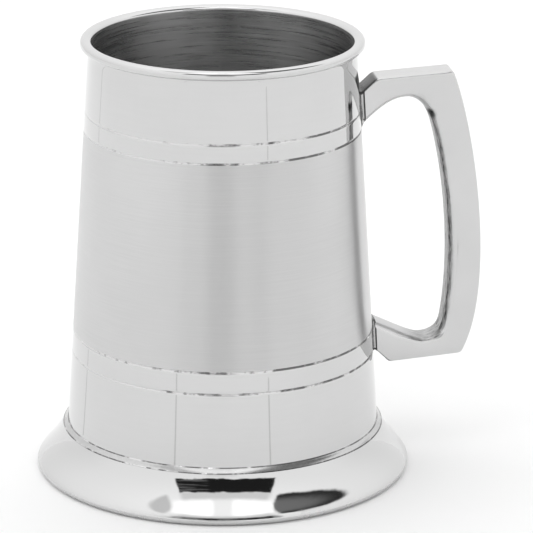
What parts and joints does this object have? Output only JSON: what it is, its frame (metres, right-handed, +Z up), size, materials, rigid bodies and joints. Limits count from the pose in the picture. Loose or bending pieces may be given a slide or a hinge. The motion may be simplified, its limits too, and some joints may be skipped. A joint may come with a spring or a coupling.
{
  "type": "pint tankard",
  "caption": "Lidless pewter pint tankard: tapered drum with a beaded lip, turned lines and satin band, squared bow handle and spreading ogee foot.",
  "frame": {"origin": "the drum's axis at the level of the table, in the middle of the flat ring that the foot stands on", "axes": "+Z up the drum's axis to the lip, +X out through the middle of the handle, +Y across the handle"},
  "size_m": [0.1265, 0.106, 0.1249],
  "materials": {
    "body_pewter": "polished at the lip and foot, with a satin band between the turned lines and a brushed inside",
    "inside_pewter": "brushed in circles",
    "foot_pewter": "mirror polish",
    "handle_pewter": "polished casting, brushed lengthwise inside the finger hole",
    "solder": "dressed tin solder, a little duller than the pewter"
  },
  "bodies": {
    "root": {"barrel": "body_pewter", "bottom_disc": "inside_pewter", "foot": "foot_pewter", "handle": "handle_pewter", "upper_handle_solder": "solder", "lower_handle_solder": "solder", "foot_solder": "solder", "bottom_solder": "solder"}
  },
  "joints": []
}
